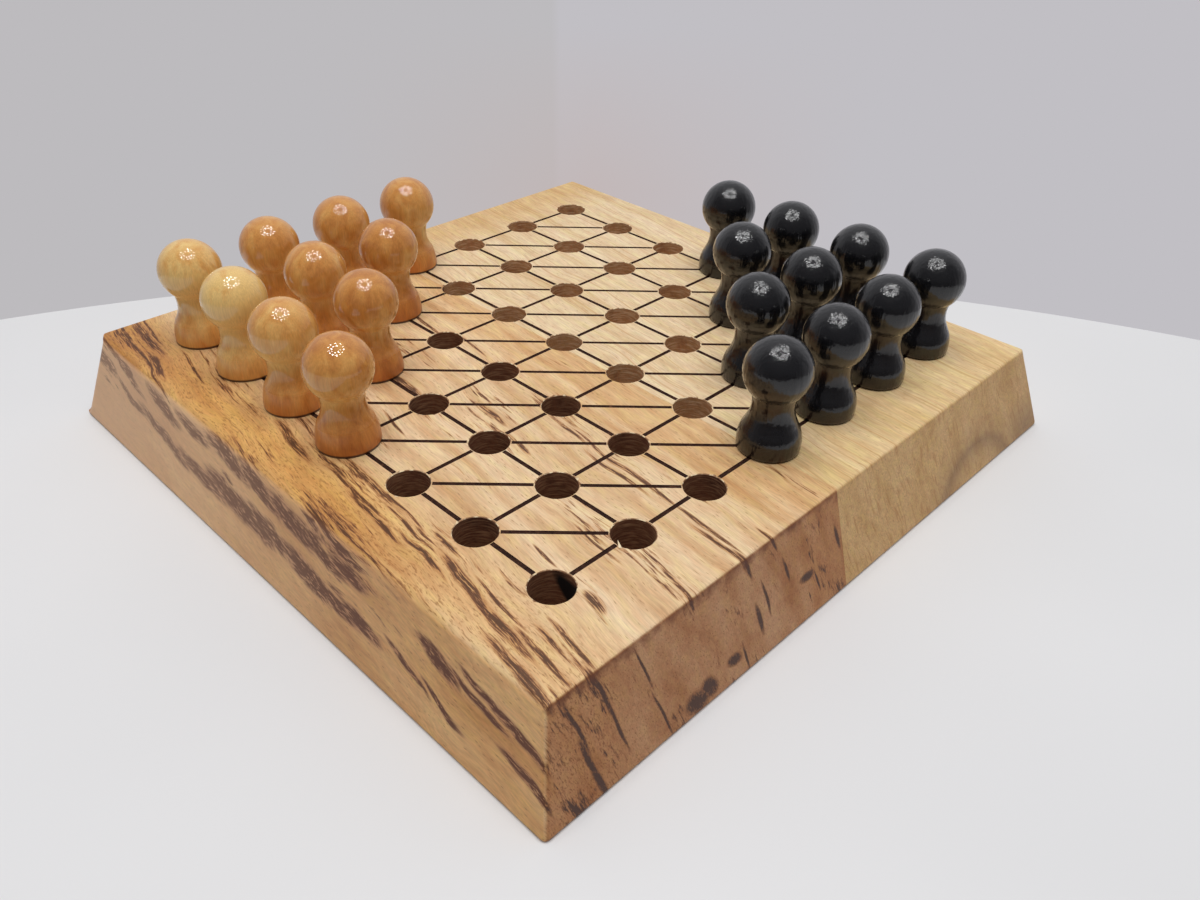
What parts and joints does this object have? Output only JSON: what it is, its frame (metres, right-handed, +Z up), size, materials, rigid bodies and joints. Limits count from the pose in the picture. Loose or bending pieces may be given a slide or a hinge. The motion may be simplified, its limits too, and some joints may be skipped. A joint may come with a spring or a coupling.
{
  "type": "wooden peg jump game",
  "caption": "Square flared wooden board drilled with a grid of holes, and two camps of turned ball-headed pegs that lift out and jump from hole to hole.",
  "frame": {"origin": "centre of the board's underside, on the table", "axes": "+Z up; +Y along the grain, towards the side with the natural pegs; +X across the grain, towards the side with the black pegs"},
  "size_m": [0.152, 0.152, 0.0413],
  "materials": {
    "streaked_wood": "satin lacquer over dark-streaked wood, bare end grain",
    "plain_wood": "satin lacquer over pale straight-grained wood",
    "natural_peg_wood": "clear satin lacquer over turned wood",
    "black_stained_wood": "gloss black stain over turned wood"
  },
  "bodies": {
    "board": {"streaked_plank": "streaked_wood", "plain_plank": "plain_wood"},
    "natural_peg_1": {"natural_peg_1": "natural_peg_wood"},
    "natural_peg_2": {"natural_peg_2": "natural_peg_wood"},
    "natural_peg_3": {"natural_peg_3": "natural_peg_wood"},
    "natural_peg_4": {"natural_peg_4": "natural_peg_wood"},
    "natural_peg_5": {"natural_peg_5": "natural_peg_wood"},
    "natural_peg_6": {"natural_peg_6": "natural_peg_wood"},
    "natural_peg_7": {"natural_peg_7": "natural_peg_wood"},
    "natural_peg_8": {"natural_peg_8": "natural_peg_wood"},
    "natural_peg_9": {"natural_peg_9": "natural_peg_wood"},
    "natural_peg_10": {"natural_peg_10": "natural_peg_wood"},
    "black_peg_1": {"black_peg_1": "black_stained_wood"},
    "black_peg_2": {"black_peg_2": "black_stained_wood"},
    "black_peg_3": {"black_peg_3": "black_stained_wood"},
    "black_peg_4": {"black_peg_4": "black_stained_wood"},
    "black_peg_5": {"black_peg_5": "black_stained_wood"},
    "black_peg_6": {"black_peg_6": "black_stained_wood"},
    "black_peg_7": {"black_peg_7": "black_stained_wood"},
    "black_peg_8": {"black_peg_8": "black_stained_wood"},
    "black_peg_9": {"black_peg_9": "black_stained_wood"},
    "black_peg_10": {"black_peg_10": "black_stained_wood"}
  },
  "joints": [
    {"name": "natural_peg_1_lift", "type": "slide", "parent": "board", "child": "natural_peg_1", "axis": [0, 0, 1], "range_m": [0, 0.032]},
    {"name": "natural_peg_2_lift", "type": "slide", "parent": "board", "child": "natural_peg_2", "axis": [0, 0, 1], "range_m": [0, 0.032]},
    {"name": "natural_peg_3_lift", "type": "slide", "parent": "board", "child": "natural_peg_3", "axis": [0, 0, 1], "range_m": [0, 0.032]},
    {"name": "natural_peg_4_lift", "type": "slide", "parent": "board", "child": "natural_peg_4", "axis": [0, 0, 1], "range_m": [0, 0.032]},
    {"name": "natural_peg_5_lift", "type": "slide", "parent": "board", "child": "natural_peg_5", "axis": [0, 0, 1], "range_m": [0, 0.032]},
    {"name": "natural_peg_6_lift", "type": "slide", "parent": "board", "child": "natural_peg_6", "axis": [0, 0, 1], "range_m": [0, 0.032]},
    {"name": "natural_peg_7_lift", "type": "slide", "parent": "board", "child": "natural_peg_7", "axis": [0, 0, 1], "range_m": [0, 0.032]},
    {"name": "natural_peg_8_lift", "type": "slide", "parent": "board", "child": "natural_peg_8", "axis": [0, 0, 1], "range_m": [0, 0.032]},
    {"name": "natural_peg_9_lift", "type": "slide", "parent": "board", "child": "natural_peg_9", "axis": [0, 0, 1], "range_m": [0, 0.032]},
    {"name": "natural_peg_10_lift", "type": "slide", "parent": "board", "child": "natural_peg_10", "axis": [0, 0, 1], "range_m": [0, 0.032]},
    {"name": "black_peg_1_lift", "type": "slide", "parent": "board", "child": "black_peg_1", "axis": [0, 0, 1], "range_m": [0, 0.032]},
    {"name": "black_peg_2_lift", "type": "slide", "parent": "board", "child": "black_peg_2", "axis": [0, 0, 1], "range_m": [0, 0.032]},
    {"name": "black_peg_3_lift", "type": "slide", "parent": "board", "child": "black_peg_3", "axis": [0, 0, 1], "range_m": [0, 0.032]},
    {"name": "black_peg_4_lift", "type": "slide", "parent": "board", "child": "black_peg_4", "axis": [0, 0, 1], "range_m": [0, 0.032]},
    {"name": "black_peg_5_lift", "type": "slide", "parent": "board", "child": "black_peg_5", "axis": [0, 0, 1], "range_m": [0, 0.032]},
    {"name": "black_peg_6_lift", "type": "slide", "parent": "board", "child": "black_peg_6", "axis": [0, 0, 1], "range_m": [0, 0.032]},
    {"name": "black_peg_7_lift", "type": "slide", "parent": "board", "child": "black_peg_7", "axis": [0, 0, 1], "range_m": [0, 0.032]},
    {"name": "black_peg_8_lift", "type": "slide", "parent": "board", "child": "black_peg_8", "axis": [0, 0, 1], "range_m": [0, 0.032]},
    {"name": "black_peg_9_lift", "type": "slide", "parent": "board", "child": "black_peg_9", "axis": [0, 0, 1], "range_m": [0, 0.032]},
    {"name": "black_peg_10_lift", "type": "slide", "parent": "board", "child": "black_peg_10", "axis": [0, 0, 1], "range_m": [0, 0.032]}
  ]
}
